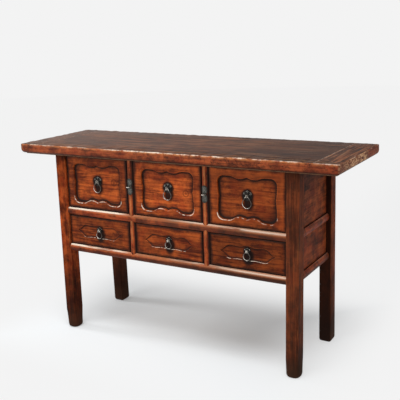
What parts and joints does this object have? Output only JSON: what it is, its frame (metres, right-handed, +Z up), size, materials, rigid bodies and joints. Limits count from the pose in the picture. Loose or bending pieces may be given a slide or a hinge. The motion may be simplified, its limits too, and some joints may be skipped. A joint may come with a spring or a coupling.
{
  "type": "six-drawer side table",
  "caption": "Long Chinese side table with an overhanging panelled top, two rows of sliding drawers with carved sunk panels and iron ring pulls, on rounded legs.",
  "frame": {"origin": "on the floor under the middle of the top", "axes": "+X along the length to the right of someone facing the drawers, +Y to the back, +Z up"},
  "size_m": [1.486, 0.47, 0.86],
  "materials": {
    "top_wood": "worn dark lacquer, grey-brown",
    "case_wood": "old red-brown lacquer, rubbed on the arrises",
    "front_wood": "old orange-brown lacquer, rubbed",
    "inner_wood": "raw planed wood",
    "iron": "dark forged iron, bright where worn"
  },
  "bodies": {
    "table": {"top_frame_front": "top_wood", "top_frame_back": "top_wood", "top_frame_left": "top_wood", "top_frame_right": "top_wood", "top_panel": "top_wood", "top_batten": "inner_wood", "leg_front_left": "case_wood", "leg_front_right": "case_wood", "leg_back_left": "case_wood", "leg_back_right": "case_wood", "rail_front_mid": "case_wood", "rail_front_bottom": "case_wood", "rail_back_mid": "case_wood", "rail_back_bottom": "case_wood", "rail_left_mid": "case_wood", "rail_left_bottom": "case_wood", "rail_right_mid": "case_wood", "rail_right_bottom": "case_wood", "panel_left_upper": "case_wood", "panel_left_lower": "case_wood", "panel_right_upper": "case_wood", "panel_right_lower": "case_wood", "panel_back_upper": "case_wood", "panel_back_lower": "case_wood", "muntin_upper_left": "case_wood", "runner_upper_left": "inner_wood", "muntin_upper_right": "case_wood", "runner_upper_right": "inner_wood", "muntin_lower_left": "case_wood", "runner_lower_left": "inner_wood", "muntin_lower_right": "case_wood", "runner_lower_right": "inner_wood", "lock_plate_left": "iron", "lock_staple_left": "iron", "lock_plate_right": "iron", "lock_staple_right": "iron"},
    "drawer_upper_left": {"drawer_front_upper_left": "front_wood", "drawer_box_upper_left": "inner_wood", "pull_plate_upper_left": "iron"},
    "ring_upper_left": {"pull_ring_upper_left": "iron"},
    "drawer_upper_centre": {"drawer_front_upper_centre": "front_wood", "drawer_box_upper_centre": "inner_wood", "pull_plate_upper_centre": "iron"},
    "ring_upper_centre": {"pull_ring_upper_centre": "iron"},
    "drawer_upper_right": {"drawer_front_upper_right": "front_wood", "drawer_box_upper_right": "inner_wood", "pull_plate_upper_right": "iron"},
    "ring_upper_right": {"pull_ring_upper_right": "iron"},
    "drawer_lower_left": {"drawer_front_lower_left": "front_wood", "drawer_box_lower_left": "inner_wood", "pull_plate_lower_left": "iron"},
    "ring_lower_left": {"pull_ring_lower_left": "iron"},
    "drawer_lower_centre": {"drawer_front_lower_centre": "front_wood", "drawer_box_lower_centre": "inner_wood", "pull_plate_lower_centre": "iron"},
    "ring_lower_centre": {"pull_ring_lower_centre": "iron"},
    "drawer_lower_right": {"drawer_front_lower_right": "front_wood", "drawer_box_lower_right": "inner_wood", "pull_plate_lower_right": "iron"},
    "ring_lower_right": {"pull_ring_lower_right": "iron"}
  },
  "joints": [
    {"name": "drawer_upper_left_slide", "type": "slide", "parent": "table", "child": "drawer_upper_left", "axis": [0, -1, 0], "range_m": [0, 0.26]},
    {"name": "ring_upper_left_swing", "type": "hinge", "parent": "drawer_upper_left", "child": "ring_upper_left", "pos_m": [-0.361, -0.18856, 0.7045], "axis": [-1, 0, 0], "range_deg": [0, 150]},
    {"name": "drawer_upper_centre_slide", "type": "slide", "parent": "table", "child": "drawer_upper_centre", "axis": [0, -1, 0], "range_m": [0, 0.26]},
    {"name": "ring_upper_centre_swing", "type": "hinge", "parent": "drawer_upper_centre", "child": "ring_upper_centre", "pos_m": [0, -0.18856, 0.7045], "axis": [-1, 0, 0], "range_deg": [0, 150]},
    {"name": "drawer_upper_right_slide", "type": "slide", "parent": "table", "child": "drawer_upper_right", "axis": [0, -1, 0], "range_m": [0, 0.26]},
    {"name": "ring_upper_right_swing", "type": "hinge", "parent": "drawer_upper_right", "child": "ring_upper_right", "pos_m": [0.361, -0.18856, 0.7045], "axis": [-1, 0, 0], "range_deg": [0, 150]},
    {"name": "drawer_lower_left_slide", "type": "slide", "parent": "table", "child": "drawer_lower_left", "axis": [0, -1, 0], "range_m": [0, 0.26]},
    {"name": "ring_lower_left_swing", "type": "hinge", "parent": "drawer_lower_left", "child": "ring_lower_left", "pos_m": [-0.361, -0.19799, 0.486], "axis": [-1, 0, 0], "range_deg": [0, 150]},
    {"name": "drawer_lower_centre_slide", "type": "slide", "parent": "table", "child": "drawer_lower_centre", "axis": [0, -1, 0], "range_m": [0, 0.26]},
    {"name": "ring_lower_centre_swing", "type": "hinge", "parent": "drawer_lower_centre", "child": "ring_lower_centre", "pos_m": [0, -0.19799, 0.486], "axis": [-1, 0, 0], "range_deg": [0, 150]},
    {"name": "drawer_lower_right_slide", "type": "slide", "parent": "table", "child": "drawer_lower_right", "axis": [0, -1, 0], "range_m": [0, 0.26]},
    {"name": "ring_lower_right_swing", "type": "hinge", "parent": "drawer_lower_right", "child": "ring_lower_right", "pos_m": [0.361, -0.19799, 0.486], "axis": [-1, 0, 0], "range_deg": [0, 150]}
  ]
}
